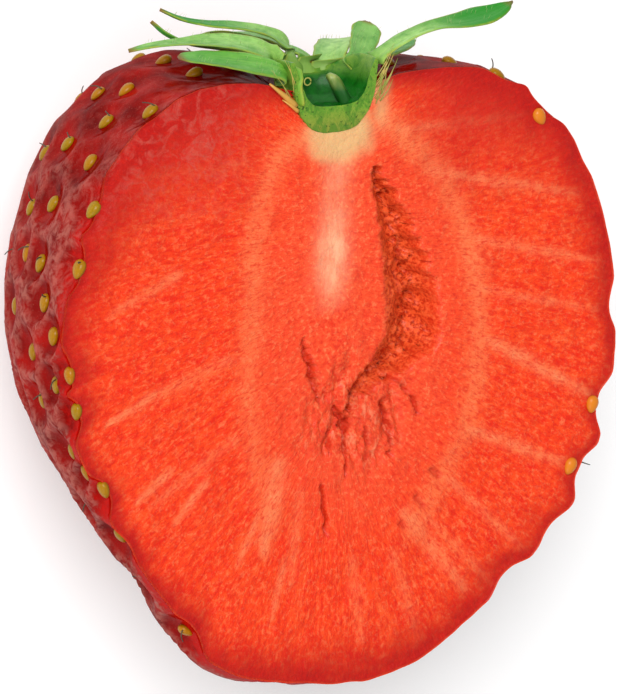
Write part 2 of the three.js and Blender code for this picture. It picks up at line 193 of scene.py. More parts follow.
# The leaves: name, width, outline, curl, how pale, warm and faded each is, points along it from its foot,
# and which way its upper face looks at the foot and at the tip.
SEPALS = (
    ("sepal_left_front", 2.9, "blunt", 0.08, (0.25, 0.75, 0.2),
     ((-4.05, 21.2, 23.85), (-4.85, 21.7, 23.8), (-6.2, 22.1, 23.55), (-8.0, 22.45, 23.2),
      (-9.9, 22.75, 22.8), (-11.7, 22.95, 22.4)), ((-0.3, 0.9, 0.4), (0, 1, 0.15))),
    ("sepal_left_middle", 2.9, "pointed", 0.10, (0.85, 0.35, 0.1),
     ((-3.9, 22.0, 21.75), (-4.8, 22.75, 21.5), (-6.3, 23.2, 20.8), (-8.2, 23.4, 20.0), (-10.2, 23.35, 19.1),
      (-12.0, 23.15, 18.3), (-13.2, 22.85, 17.7)), ((-0.4, 0.9, 0.2), (0, 1, 0))),
    ("sepal_left_upper", 2.3, "pointed", 0.12, (0.8, 0.45, 1.0),
     ((-1.4, 22.0, 19.3), (-2.1, 22.95, 19.0), (-3.2, 23.5, 18.6), (-5.0, 23.9, 18.0), (-7.05, 24.15, 17.5),
      (-8.8, 24.6, 17.1), (-10.3, 25.35, 16.8)), ((-0.4, 0.8, 0.3), (0.31, 0.85, -0.07))),
    ("sepal_left_curled", 2.6, "pointed", 0.12, (0.3, 0.2, 1.0),
     ((-2.9, 21.55, 20.15), (-4.3, 22.15, 19.0), (-6.2, 22.45, 17.8), (-8.0, 22.75, 16.7), (-9.4, 23.4, 15.9),
      (-10.3, 24.3, 15.4)), ((-0.3, 1, -0.2), (0.5, 0.9, 0))),
    ("sepal_back_left", 3.1, "pointed", 0.10, (0.35, 0.2, 0.1),
     ((0.05, 21.35, 18.95), (-0.7, 21.9, 17.7), (-1.9, 22.5, 16.3), (-3.0, 22.7, 14.6), (-4.1, 22.5, 12.8),
      (-4.9, 21.9, 11.2)), ((-0.1, 0.9, -0.4), (-0.1, 1, -0.4))),
    ("sepal_back_blunt", 2.9, "square", 0.08, (1.0, 0.1, 0.0),
     ((1.8, 21.4, 19.2), (2.8, 21.8, 17.9), (3.9, 21.9, 16.5), (4.9, 21.7, 14.9), (5.8, 21.3, 13.3)),
     ((0.1, 0.9, -0.3), (0.2, 0.9, -0.5))),
    ("sepal_back_round", 2.1, "round", 0.08, (0.55, 0.1, 0.0),
     ((3.2, 21.6, 20.7), (3.75, 21.95, 20.15), (4.35, 22.35, 19.5), (4.95, 22.8, 18.7), (5.5, 23.35, 17.9)),
     ((0.2, 0.6, 0.5), (0.2, 0.9, 0.3))),
    ("sepal_right_back", 2.0, "pointed", 0.08, (0.1, 0.2, 0.1),
     ((3.3, 21.7, 22.4), (5.0, 21.7, 21.6), (6.8, 21.8, 20.3), (8.4, 21.9, 18.6), (9.5, 21.7, 17.1)),
     ((0.1, 1, 0), (0.2, 1, -0.15))),
    ("sepal_right_long", 2.5, "twisted", 0.10, (0.95, 0.3, 1.0),
     ((3.1, 21.9, 23.6), (4.0, 22.5, 23.7), (5.4, 23.2, 23.9), (7.4, 23.8, 24.1), (9.8, 24.0, 24.3),
      (12.0, 24.4, 24.2), (13.8, 25.0, 24.0)), ((-0.2, 1, 0), (-0.2, 0.9, 0.3))),
)
OUTLINES = {
    "pointed": ((0, 0.12, 0.28, 0.55, 0.82, 0.95, 1), (0.85, 0.72, 0.78, 1, 0.62, 0.26, 0.03)),
    "blunt": ((0, 0.12, 0.32, 0.65, 0.9, 0.97, 1), (0.85, 0.72, 0.78, 1, 0.92, 0.7, 0.3)),
    "round": ((0, 0.15, 0.35, 0.65, 0.86, 0.96, 1), (0.8, 0.7, 0.66, 0.96, 0.98, 0.62, 0.2)),
    "square": ((0, 0.2, 0.5, 0.75, 0.92, 1), (0.8, 0.85, 0.95, 1, 0.97, 0.82)),
    "twisted": ((0, 0.12, 0.3, 0.55, 0.8, 0.95, 1), (0.9, 0.75, 0.85, 0.72, 1, 0.42, 0.04)),
}
SEPAL_ROWS = 54
SEPAL_COLUMNS = 17
SEPAL_THICKNESS = 0.30
# Each leaf grows from the cup's wall: the radius there and how far below the leaf's first point, at its foot
# and a little higher.
LEAF_FOOT = (3.1, 1.9)
LEAF_KNEE = (3.25, 0.8)
HAIRS_ON_LEAF = 30

# Studio, in metres and watts: name, place, size and power of each light.
LIGHTS = (("key_light", (-0.34, 0.34, 0.60), 0.42, 5.0), ("fill_light", (-0.50, -0.45, 0.45), 0.50, 1.5))
LIGHT_AIM = (0, 0, 0.015)
FLOOR_SIZE = 6.0
FLOOR_TONE = 0.98
SURROUND_STRENGTH = 0.60


def linear(red, green, blue):
    """An sRGB colour, 0 to 255, as the linear colour that a shader socket takes."""
    shares = [value / 255 for value in (red, green, blue)]
    return (*[s / 12.92 if s <= 0.04045 else ((s + 0.055) / 1.055) ** 2.4 for s in shares], 1.0)


def smoothstep(low, high, value):
    t = np.clip((value - low) / (high - low), 0.0, 1.0)
    return t * t * (3 - 2 * t)


def hermite(knots, values, slopes, at):
    """A smooth curve through the values, with the given slopes at the knots."""
    i = np.clip(np.searchsorted(knots, at, side="right") - 1, 0, len(knots) - 2)
    span = knots[i + 1] - knots[i]
    s = (at - knots[i]) / span
    if values.ndim == 2:
        span = span[:, None]
        s = s[:, None]
    return (
        values[i] * (1 + 2 * s) * (1 - s) ** 2
        + slopes[i] * span * s * (1 - s) ** 2
        + values[i + 1] * s * s * (3 - 2 * s)
        + slopes[i + 1] * span * s * s * (s - 1)
    )


def smooth_curve(knots, values, at):
    """A smooth curve through the values, level at both ends."""
    knots = np.asarray(knots, float)
    values = np.asarray(values, float)
    slopes = np.zeros(len(values))
    slopes[1:-1] = (values[2:] - values[:-2]) / (knots[2:] - knots[:-2])
    return hermite(knots, values, slopes, np.clip(at, knots[0], knots[-1]))


def scatter(numbers, seed):
    """A fixed number from 0 to 1 for each row of whole numbers."""
    mixed = np.full(numbers.shape[0], seed * 2654435761, dtype=np.uint64)
    for column, prime in zip(numbers.T, (73856093, 19349663, 83492791)):
        mixed ^= (column.astype(np.int64).astype(np.uint64) * np.uint64(prime)) & np.uint64(0xFFFFFFFF)
    mixed = (mixed ^ (mixed >> np.uint64(13))) * np.uint64(1274126177) & np.uint64(0xFFFFFFFF)
    mixed = (mixed ^ (mixed >> np.uint64(16))) * np.uint64(2246822519) & np.uint64(0xFFFFFFFF)
    return (mixed ^ (mixed >> np.uint64(15))).astype(float) / 0xFFFFFFFF


def cloud(points, seed):
    """Smooth noise from -1 to 1 at rows of points, with one bump per unit."""
    points = np.asarray(points, float)
    cell = np.floor(points)
    share = points - cell
    share = share * share * (3 - 2 * share)
    total = np.zeros(len(points))
    for corner in itertools.product((0, 1), repeat=points.shape[1]):
        corner = np.array(corner)
        weight = np.prod(np.where(corner == 1, share, 1 - share), axis=1)
        total += weight * (2 * scatter(cell + corner, seed) - 1)
    return total


def smooth_radius(directions):
    """The fruit's radius along unit directions, without its dimples."""
    from_top = np.degrees(np.arccos(np.clip(directions[:, 1], -1, 1)))
    turn = np.abs(np.degrees(np.arctan2(-directions[:, 2], directions[:, 0])))
    total = np.zeros(len(directions))
    for line, radii in enumerate(RADII):
        gap = np.abs(turn - line * LINE_STEP) / LINE_STEP
        weight = np.where(gap < 1, np.cos(gap * math.pi / 2) ** 2, 0.0)
        total += weight * smooth_curve(ANGLES_FROM_TOP, radii, from_top)
    return total


def direction_at(from_top, turn):
    polar = math.radians(from_top)
    turn = math.radians(turn)
    return np.array([math.sin(polar) * math.cos(turn), math.cos(polar), -math.sin(polar) * math.sin(turn)])


def seed_directions():
    """The placed seeds, then a golden spiral from the calyx to the tip, as on the solid."""
    directions = [direction_at(*pair) for pair in PLACED_SEEDS]
    points = [MIDDLE + d * smooth_radius(d[None])[0] for d in directions]
    golden_turn = 180 * (3 - math.sqrt(5))
    for i in range(SEEDS_ROUND_WHOLE_FRUIT):
        share = (i + 0.5) / SEEDS_ROUND_WHOLE_FRUIT
        from_top = math.degrees(math.acos(1 - 2 * share)) + 0.9 * math.sin(12.9 * i)
        direction = direction_at(from_top, golden_turn * i + 1.1 * math.sin(7.7 * i))
        point = MIDDLE + direction * smooth_radius(direction[None])[0]
        on_this_half = BARE_BELOW < point[2] < CUT_HEIGHT - SEED_WIDTH and from_top > CALYX_COVER
        if on_this_half and min(np.linalg.norm(other - point) for other in points) > SEED_SPACING:
            directions.append(direction)
            points.append(point)
    return np.array(directions)


SEEDS = seed_directions()


def skin_shape(directions):
    """Radius of the dimpled skin along unit directions, and how near each point is to a ridge, 0 to 1, which
    sets the painted sheen over the ridges.
    """
    radius = smooth_radius(directions)
    height = MIDDLE[2] + directions[:, 2] * radius
    from_top = np.degrees(np.arccos(np.clip(directions[:, 1], -1, 1)))
    nearest = np.full((2, len(directions)), 9.0)
    for seed in SEEDS:
        away = np.linalg.norm(directions - seed, axis=1)
        nearest[1] = np.clip(away, nearest[0], nearest[1])
        nearest[0] = np.minimum(nearest[0], away)
    nearest *= radius
    depth = smooth_curve(DIMPLE_ANGLES, DIMPLE_DEPTHS, from_top)
    depth *= smoothstep(BARE_BELOW, FULL_DEPTH_ABOVE, height)
    wobble = 0.25 * cloud(directions * 14, 3)
    cell = smoothstep(0.0, RIDGE_WIDTH, nearest[1] - nearest[0] + wobble)
    reach = np.clip(1 - nearest[0] / (DIMPLE_RADIUS * 1.35), 0, 1)
    pit = smoothstep(0.0, 0.75, reach)
    dip = depth * pit * (0.35 + 0.65 * cell)
    lumps = 0.07 * cloud(directions * 9, 5) + 0.035 * cloud(directions * 30, 6)
    lumps *= smoothstep(0.2, FULL_DEPTH_ABOVE, height)
    # How strongly the painted sheen shows over the ridges: weak near the calyx, full further down.
    netted = 0.25 + 0.75 * smoothstep(28, 66, from_top)
    return radius - dip - 0.08 + lumps, netted * (1 - np.clip(cell * pit, 0, 1))


def cup_radius(height):
    """Outer radius of the calyx cup at a height along its axis."""
    radii, heights = zip(*CUP_OUTSIDE)
    return np.interp(height, heights, radii, left=0.0)


def top_of_flesh(x, y):
    """Where the flesh ends: the cut plane, or the underside of the calyx cup that sits in it."""
    side = np.abs(x - CUP_AXIS[0])
    radius = np.maximum(cup_radius(y), 0.01)
    cut_above_axis = CUT_HEIGHT - CUP_AXIS[1]
    under_cup = (side / radius) ** CUP_SQUARENESS + (cut_above_axis / radius) ** CUP_SQUARENESS < 1
    floor = CUP_AXIS[1] - np.sqrt(np.maximum(radius**2 - side**2, 0))
    return np.where(under_cup, floor, CUT_HEIGHT), under_cup


def along_line(points, line):
    """For each point, how far it is from a line, where along it that is, 0 to 1, and on which side."""
    line = np.asarray(line, float)
    best = np.full(len(points), 1e9)
    place = np.zeros(len(points))
    side = np.zeros(len(points))
    for i in range(len(line) - 1):
        step = line[i + 1] - line[i]
        share = np.clip((points - line[i]) @ step / (step @ step), 0, 1)
        offset = points - line[i] - share[:, None] * step
        away = np.linalg.norm(offset, axis=1)
        nearer = away < best
        beside = (step[0] * offset[:, 1] - step[1] * offset[:, 0]) / np.linalg.norm(step)
        side = np.where(nearer, beside, side)
        best = np.where(nearer, away, best)
        place = np.where(nearer, (i + share) / (len(line) - 1), place)
    return best, place, side


def tear(points, line, half_widths, depth, ragged, deeper_right=0.0):
    """How deep a tear is at each point of the cut face, and its mask from 0 to 1."""
    away, place, side = along_line(points, line)
    away = away + ragged * (cloud(points * 1.7, 11) + 0.6 * cloud(points * 4.3, 12))
    stations = np.linspace(0, 1, len(half_widths))
    width = np.interp(place, stations, half_widths)
    share = np.clip(away / np.maximum(width, 0.02), 0, 2)
    profile = np.clip(1 - share**3, 0, 1)
    lumps = 1 + 0.20 * cloud(points * 1.6, 13) + 0.20 * cloud(points * 3.4, 14)
    lumps *= 1 + deeper_right * np.clip(side / np.maximum(width, 0.02), -1, 1)
    return depth * np.sqrt(width / max(half_widths)) * profile * lumps, 1 - smoothstep(0.7, 1.1, share)


def relief(points):
    """Drop of the cut face below its plane at each point, with the masks of the cleft and of the slots."""
    drop, cleft = tear(points, *CLEFT, ragged=0.3, deeper_right=0.9)
    slots = np.zeros(len(points))
    for slot in SLOTS:
        deeper, mask = tear(points, *slot, ragged=0.16)
        drop = np.maximum(drop, 0.7 * deeper)
        slots = np.maximum(slots, mask)
    offset = (points - np.array(RAGGED_CENTRE)) / np.array(RAGGED_REACH)
    torn = 1 - smoothstep(0.3, 1.0, np.linalg.norm(offset, axis=1) + 0.25 * cloud(points * 0.8, 15))
    fibres = cloud(points * (1.5, 0.6), 16) + 0.6 * cloud(points * (3.2, 1.6), 17)
    drop = drop + torn * np.clip(0.15 + 0.45 * fibres, 0, 1)
    swell = 0.10 * cloud(points * 0.45, 21) + 0.05 * cloud(points * 1.3, 22) + 0.02 * cloud(points * 4.5, 23)
    return drop - swell + 0.12, cleft, slots, torn


def new_mesh(name, points, faces):
    """A mesh object in metres from points in millimetres."""
    mesh = bpy.data.meshes.new(name)
    mesh.from_pydata([tuple(p) for p in np.asarray(points) * MM], [], [tuple(f) for f in faces])
    mesh.polygons.foreach_set("use_smooth", [True] * len(mesh.polygons))
    mesh.update()
    piece = bpy.data.objects.new(name, mesh)
    bpy.context.scene.collection.objects.link(piece)
    return piece


def mark(piece, name, values):
    """Stores a number or a vector for each vertex, for the shaders to read."""
    values = np.asarray(values, float)
    kind = "FLOAT" if values.ndim == 1 else "FLOAT_VECTOR"
    layer = piece.data.attributes.new(name, kind, "POINT")
    layer.data.foreach_set("value" if values.ndim == 1 else "vector", values.ravel())


def rim_of_skin(bearings):
    """Polar angle, from straight down, at which the skin meets the cut plane or the calyx cup."""
    low = np.full(len(bearings), math.radians(40))
    high = np.full(len(bearings), math.radians(120))
    for _ in range(28):
        polar = (low + high) / 2
        point = skin_point(polar, bearings)[0]
        limit = top_of_flesh(point[:, 0], np.minimum(point[:, 1], CUP_OUTSIDE[-1][1]))[0] - RIM_DROP
        below = point[:, 2] < limit
        low = np.where(below, polar, low)
        high = np.where(below, high, polar)
    return low


def skin_point(polar, bearings):
    directions = np.stack([
        np.sin(polar) * np.sin(bearings),
        np.sin(polar) * np.cos(bearings),
        -np.cos(polar),
    ], axis=1)
    radius, ridge = skin_shape(directions)
    points = MIDDLE + directions * radius[:, None]
    points[:, 2] = np.maximum(points[:, 2], 0)
    return points, ridge


def face_grid(bearings, rim):
    """Flat points of the cut face from the core out, with each one's fibre and its way to go to the rim."""
    core_y = (CORE_TOP + CORE_FOOT) / 2 + (CORE_TOP - CORE_FOOT) / 2 * np.cos(bearings)
    core = np.stack([np.full(COLUMNS, CORE_X), core_y], axis=1)
    length = np.linalg.norm(rim - core, axis=1)
    points, fibre, edge = [], [], []
    for ring in range(FACE_RINGS):
        share = ring / FACE_RINGS
        count = COLUMNS // 2 + 1 if ring == 0 else COLUMNS
        points.append((core * (1 - share) + rim * share)[:count])
        fibre.append(np.stack([bearings, share * length, np.zeros(COLUMNS)], axis=1)[:count])
        edge.append(((1 - share) * length)[:count])
    return np.concatenate(points), np.concatenate(fibre), np.concatenate(edge)


def fruit_faces(face_count, pole):
    """Faces of the cut, whose first ring is folded flat at the core, then those of the skin to its pole."""
    def index(ring, column):
        column %= COLUMNS
        if ring == 0:
            return min(column, COLUMNS - column)
        if ring == FACE_RINGS:
            return face_count + column
        return COLUMNS // 2 + 1 + (ring - 1) * COLUMNS + column

    faces = []
    for ring, column in itertools.product(range(FACE_RINGS), range(COLUMNS)):
        inner = [index(ring, column), index(ring, column + 1)]
        outer = [index(ring + 1, column + 1), index(ring + 1, column)]
        faces.append(list(dict.fromkeys(inner + outer))[::-1])
    cut_faces = len(faces)
    for row, column in itertools.product(range(SKIN_ROWS), range(COLUMNS)):
        here = face_count + row * COLUMNS + column
        after = face_count + row * COLUMNS + (column + 1) % COLUMNS
        below = [pole] if row == SKIN_ROWS - 1 else [here + COLUMNS, after + COLUMNS]
        faces.append([here, *below, after][::-1])
    return faces, cut_faces


def fruit_mesh():
    """The closed half: rings of the cut face from the core out to the rim, then rows of skin to the pole."""
    bearings = np.linspace(0, 2 * math.pi, COLUMNS, endpoint=False)
    polar = rim_of_skin(bearings)
    rows, ridges = zip(*[skin_point(polar * (1 - row / SKIN_ROWS), bearings) for row in range(SKIN_ROWS)])
    flat, fibre, edge = face_grid(bearings, rows[0][:, :2])
    drop, cleft, slots, torn = relief(flat)
    limit, under_cup = top_of_flesh(flat[:, 0], flat[:, 1])
    height = limit - np.where(under_cup, 0, drop * smoothstep(0.0, 0.6, edge))
    height -= RIM_DROP * (1 - smoothstep(0.0, 1.0, edge))
    pole = skin_point(np.zeros(1), np.zeros(1))[0]
    points = np.concatenate([np.column_stack([flat, height]), *rows, pole])
    faces, cut_faces = fruit_faces(len(flat), len(points) - 1)
    piece = new_mesh("berry_flesh_and_skin", points, faces)
    piece.data.polygons.foreach_set("material_index", (np.arange(len(faces)) >= cut_faces).astype(np.int32))

    no_skin = np.zeros(len(points) - len(flat))
    mark(piece, "fibre", np.concatenate([fibre, np.zeros((len(no_skin), 3))]))
    masks = {"cleft": cleft, "slot": slots, "torn": torn, **face_masks(flat, edge)}
    for name, values in masks.items():
        mark(piece, name, np.concatenate([values, no_skin]))
    rows = np.array(rows)
    from_rim = np.linalg.norm(rows - rows[0], axis=2)
    from_rim += 1.6 * smoothstep(13.0, 17.0, rows[:, :, 1])
    from_rim += FAR_FROM_RIM * (rows[0, :, 2] < CUT_HEIGHT - 1.0)
    no_face = np.zeros(len(flat))
    mark(piece, "ridge", np.concatenate([no_face, *ridges, np.zeros(1)]))
    mark(piece, "from_rim", np.concatenate([no_face, from_rim.ravel(), np.full(1, FAR_FROM_RIM)]))
    return piece


def within(points, centre, reach):
    """How far points are from an ellipse's centre, squared: 1 on the ellipse."""
    return ((points[:, 0] - centre[0]) / reach[0]) ** 2 + ((points[:, 1] - centre[1]) / reach[1]) ** 2


def face_masks(points, edge):
    """Masks from 0 to 1 of what changes colour on the cut face."""
    bearing = np.degrees(np.arctan2(points[:, 0], points[:, 1])) % 360
    reach = smooth_curve(RIM_BEARINGS, RIM_REACH, bearing)
    warp = 0.5 * cloud(points * 0.9, 31) + 0.25 * cloud(points * 2.3, 32)
    deep = np.exp(-(np.maximum(edge + warp * 0.7, 0) / reach) ** 2)
    # The shoulders: where painted shade darkens the upper cut face either side of the calyx.
    shoulder = smoothstep(9.0, 19.0, points[:, 1] + 1.2 * warp)
    shoulder *= smoothstep(3.5, 10.0, np.abs(points[:, 0] + 0.5) + warp)

    pale = np.zeros(len(points))
    for start, end, half_width, strength in STREAKS:
        away, place, _ = along_line(points, (start, end))
        width = half_width * (0.55 + 0.45 * np.sin(math.pi * np.clip(place * 0.8 + 0.2, 0, 1)))
        line = strength * np.exp(-((away + 0.10 * warp) / width) ** 2)
        pale = np.maximum(pale, line * (0.7 + 0.3 * cloud(points * 1.9, 33)))

    ring = np.zeros(len(points))
    for line, strength in ((CORE_RING_LEFT, 0.8), (CORE_RING_RIGHT, 1.0)):
        away, place, _ = along_line(points, line)
        glow = np.exp(-((away + 0.4 * warp) / 0.95) ** 2) * strength * (1 - 0.45 * place)
        ring = np.maximum(ring, glow)

    slant = 0.5 + 0.06 * (15.0 - points[:, 1])
    away = (points[:, 0] + slant + 0.35 * warp) / PITH_WIDTH
    bright = smooth_curve(PITH_HEIGHTS, PITH_BRIGHT, points[:, 1] + 0.6 * warp)
    bright *= smoothstep(3.4, 5.0, points[:, 1]) * (1 - smoothstep(15.5, 18.0, points[:, 1]))
    pith = bright * np.exp(-(away**2))

    cream = 1 - smoothstep(0.1, 1.5, within(points, CREAM_CENTRE, CREAM_REACH) + 0.35 * warp)
    beside_cup = 1 - smoothstep(0.1, 1.1, np.abs(points[:, 0] - PALE_BESIDE_CUP) + 0.4 * warp)
    beside_cup *= smoothstep(16.0, 18.5, points[:, 1])
    cream = np.maximum(cream, 0.6 * beside_cup)
    core = 1 - smoothstep(0.35, 1.25, within(points, CORE_CENTRE, CORE_REACH))
    return {
        "deep": deep, "shoulder": shoulder, "pale": pale, "ring": ring, "pith": pith, "cream": cream,
        "core": core,
    }


class Shader:
    """A material being built, with short calls for the nodes that it is made of."""

    def __init__(self, name):
        self.material = bpy.data.materials.new(name)
        self.material.use_nodes = True
        self.tree = self.material.node_tree
        self.color = None

    def put(self, socket, value):
        if isinstance(value, bpy.types.NodeSocket):
            self.tree.links.new(value, socket)
        else:
            socket.default_value = value

    def node(self, kind, inputs=None, **settings):
        """A new node's outputs, with its inputs given by name or number."""
        made = self.tree.nodes.new("ShaderNode" + kind)
        for name, value in settings.items():
            setattr(made, name, value)
        for name, value in (inputs or {}).items():
            self.put(made.inputs[name], value)
        return made.outputs

    def finished(self, **values):
        """The material, with what is painted so far as its colour."""
        surface = self.tree.nodes["Principled BSDF"]
        self.put(surface.inputs["Base Color"], self.color)
        for name, value in values.items():
            self.put(surface.inputs[name.replace("_", " ")], value)
        return self.material

    def number(self, name):
        return self.node("Attribute", attribute_name=name)["Fac"]

    def vector(self, name):
        return self.node("Attribute", attribute_name=name)["Vector"]

    def place(self):
        """The object's own coordinates in millimetres."""
        return self.scaled(self.node("TexCoord")["Object"], (1 / MM,) * 3)

    def parts(self, vector):
        return self.node("SeparateXYZ", {0: vector})

    def scaled(self, vector, scale):
        return self.node("VectorMath", {0: vector, 1: scale}, operation="MULTIPLY")[0]

    def noise(self, vector, scale, detail=2.0, roughness=0.5, distortion=0.0):
        grain = {"Scale": scale, "Detail": detail, "Roughness": roughness, "Distortion": distortion}
        return self.node("TexNoise", {"Vector": vector, **grain})["Fac"]

    def span(self, value, low, high, to_low=0.0, to_high=1.0):
        ends = {"From Min": low, "From Max": high, "To Min": to_low, "To Max": to_high}
        return self.node("MapRange", {"Value": value, **ends})["Result"]

    def math(self, operation, first, second=0.0):
        return self.node("Math", {0: first, 1: second}, operation=operation)[0]

    def times(self, first, second):
        return self.math("MULTIPLY", first, second)

    def mixed(self, share, first, second):
        return self.node("Mix", {0: share, 2: first, 3: second}, data_type="FLOAT")[0]

    def blend(self, share, first, second):
        return self.node("Mix", {0: share, 6: first, 7: second}, data_type="RGBA")[2]

    def ground(self, share, first, second):
        """The first colour of all, blended from two."""
        self.color = self.blend(share, linear(*first), linear(*second))

    def paint(self, share, red, green, blue):
        """Lays a colour over what is painted so far."""
        self.color = self.blend(share, self.color, linear(red, green, blue))

    def bump(self, height, strength, distance, *below):
        inputs = {"Strength": strength, "Distance": distance * MM, "Height": height}
        return self.node("Bump", {**inputs, **{"Normal": normal for normal in below}})["Normal"]


def painted_sheen_patches(s, place):
    """Painted sheen: pale patches of painted highlight over the left shoulder, the same on the flesh and on
    the skin beside it.
    """
    x, y, _ = s.parts(place)
    patches = s.span(s.noise(place, 0.8, 4.0, 0.66, 1.2), 0.48, 0.66, 0.0, 0.6)
    left = s.span(x, -4.0, -10.0)
    high = s.span(y, 2.0, 9.0)
    return s.times(patches, s.times(left, high))


def flesh_material():
    """Moist cut flesh: red cells in rows along pale fibres, a cream core and a raw, granular cleft."""
    s = Shader("strawberry_flesh")
    place = s.place()
    fibre = s.scaled(s.vector("fibre"), (24.0, 1.0, 1.0))
    rows = s.noise(s.scaled(fibre, (1.7, 0.6, 1.0)), 1.0, 3.0, 0.62, 0.5)
    fine_rows = s.noise(s.scaled(fibre, (4.2, 1.9, 1.0)), 1.0, 2.0, 0.6, 0.5)
    broad_rows = s.noise(s.scaled(fibre, (0.5, 0.11, 1.0)), 1.0, 2.0, 0.5, 0.3)
    mottle = s.noise(place, 0.7, 4.0, 0.62, 0.3)
    grains = s.noise(place, 3.2, 3.0, 0.66, 0.3)

    away_from_seam = s.span(s.parts(s.vector("fibre"))[1], 0.6, 3.2)
    rows = s.mixed(away_from_seam, mottle, rows)
    fine_rows = s.mixed(away_from_seam, s.noise(place, 2.6, 2.0, 0.6, 0.3), fine_rows)
    dabs = s.noise(s.scaled(fibre, (2.2, 1.5, 1.0)), 1.0, 4.0, 0.68, 0.4)
    dabs = s.mixed(away_from_seam, grains, dabs)
    dabs = s.mixed(s.times(s.number("core"), 0.6), dabs, grains)

    s.ground(s.span(rows, 0.38, 0.60), (232, 38, 12), (245, 72, 24))
    s.paint(s.span(mottle, 0.35, 0.7, 0.0, 0.5), 248, 86, 32)
    s.paint(s.span(broad_rows, 0.54, 0.74, 0.0, 0.4), 249, 102, 48)
    s.color = s.scaled(s.color, (1.0, 0.84, 0.68))
    s.paint(s.times(s.number("core"), 0.6), 246, 86, 48)
    s.paint(s.times(s.number("ring"), 0.8), 250, 128, 76)
    s.paint(s.number("pale"), 250, 142, 92)
    s.paint(s.span(dabs, 0.53, 0.68, 0.0, 0.6), 251, 124, 72)
    s.paint(s.span(dabs, 0.48, 0.36, 0.0, 0.6), 216, 32, 12)
    s.paint(s.span(grains, 0.54, 0.64, 0.0, 0.25), 251, 140, 92)
    # Painted shade: a darker, duller red over the upper shoulders either side of the calyx.
    s.paint(s.times(s.number("shoulder"), 0.8), 196, 30, 20)
    s.paint(s.times(s.number("deep"), s.span(mottle, 0.2, 0.7, 1.1, 0.85)), 180, 14, 8)
    # Painted sheen: pale patches of painted highlight over the upper left of the cut face.
    s.paint(s.times(painted_sheen_patches(s, place), s.number("shoulder")), 200, 92, 78)
    s.paint(s.span(fine_rows, 0.5, 0.68, 0.0, 0.5), 212, 30, 12)
    strings = s.noise(s.scaled(place, (2.4, 0.8, 1.0)), 1.0, 4.0, 0.68, 0.4)
    pith = s.times(s.number("pith"), s.span(strings, 0.36, 0.60, 0.65, 1.1))
    s.paint(pith, 250, 180, 138)
    s.paint(s.times(s.number("cream"), 0.95), 228, 180, 122)
    torn = s.blend(s.span(grains, 0.40, 0.56), linear(180, 44, 14), linear(242, 98, 46))
    s.color = s.blend(s.times(s.number("cleft"), 0.9), s.color, torn)
    s.paint(s.times(s.number("slot"), 0.6), 204, 44, 22)
    streaks = s.noise(s.scaled(place, (1.5, 0.65, 1.0)), 1.0, 5.0, 0.7, 0.5)
    ragged = s.times(s.number("torn"), s.span(s.number("cleft"), 0.0, 1.0, 1.0, 0.4))
    s.paint(s.times(ragged, s.span(streaks, 0.48, 0.36, 0.0, 0.7)), 206, 50, 26)
    s.paint(s.times(ragged, s.span(streaks, 0.54, 0.66, 0.0, 0.8)), 252, 136, 96)

    s.color = s.scaled(s.color, (0.87, 0.87, 0.87))
    normal = s.bump(rows, 0.5, 0.14)
    normal = s.bump(fine_rows, 0.4, 0.07, normal)
    normal = s.bump(grains, 0.8, 0.12, normal)
    lumps = s.noise(place, 2.1, 4.0, 0.7, 0.6)
    normal = s.bump(s.times(lumps, ragged), 0.8, 0.28, normal)
    return s.finished(
        Roughness=s.span(grains, 0.3, 0.7, 0.34, 0.5), Normal=normal,
        Subsurface_Weight=0.15, Subsurface_Radius=(1.0, 0.22, 0.10), Subsurface_Scale=0.5 * MM,
        Specular_IOR_Level=0.15, Coat_Weight=0.10, Coat_Roughness=0.2,
    )


def skin_material():
    """Glossy skin: deep red in the dimples, with a pale painted sheen over the ridges between them."""
    s = Shader("strawberry_skin")
    place = s.place()
    ridge = s.number("ridge")
    mottle = s.noise(place, 0.35, 3.0, 0.55, 0.2)
    patches = s.noise(place, 1.6, 4.0, 0.65, 0.5)
    pores = s.noise(place, 9.0, 2.0, 0.6)

    from_rim = s.math("ADD", s.number("from_rim"), s.span(patches, 0.3, 0.7, -0.6, 0.6))
    s.ground(s.span(mottle, 0.3, 0.7), (92, 2, 1), (150, 10, 4))
    # Painted reflection: a pale greyish pink sheen over the ridges between the dimples, in patches.
    painted_ridge_sheen = s.times(s.span(ridge, 0.45, 0.95), s.span(patches, 0.40, 0.60))
    painted_ridge_sheen = s.times(painted_ridge_sheen, s.span(from_rim, 0.5, 1.4))
    s.paint(s.times(painted_ridge_sheen, 0.55), 168, 100, 88)
    s.paint(s.span(pores, 0.62, 0.74, 0.0, 0.3), 176, 100, 80)
    s.paint(s.span(from_rim, 0.2, 1.5, 0.85, 0.0), 178, 14, 7)
    # Painted sheen: the same pale patches of painted highlight, carried onto the skin beside the rim.
    painted_sheen = s.times(painted_sheen_patches(s, place), s.span(from_rim, 1.0, 5.0, 0.7, 0.2))
    s.paint(painted_sheen, 176, 88, 78)
    normal = s.bump(patches, 0.25, 0.10)
    normal = s.bump(pores, 0.25, 0.04, normal)
    return s.finished(
        Roughness=s.span(painted_ridge_sheen, 0.0, 1.0, 0.24, 0.42), Normal=normal,
        Subsurface_Weight=0.12, Subsurface_Radius=(1.0, 0.2, 0.1), Subsurface_Scale=0.8 * MM,
        Specular_IOR_Level=0.0, Coat_Weight=0.12, Coat_Roughness=0.14,
    )


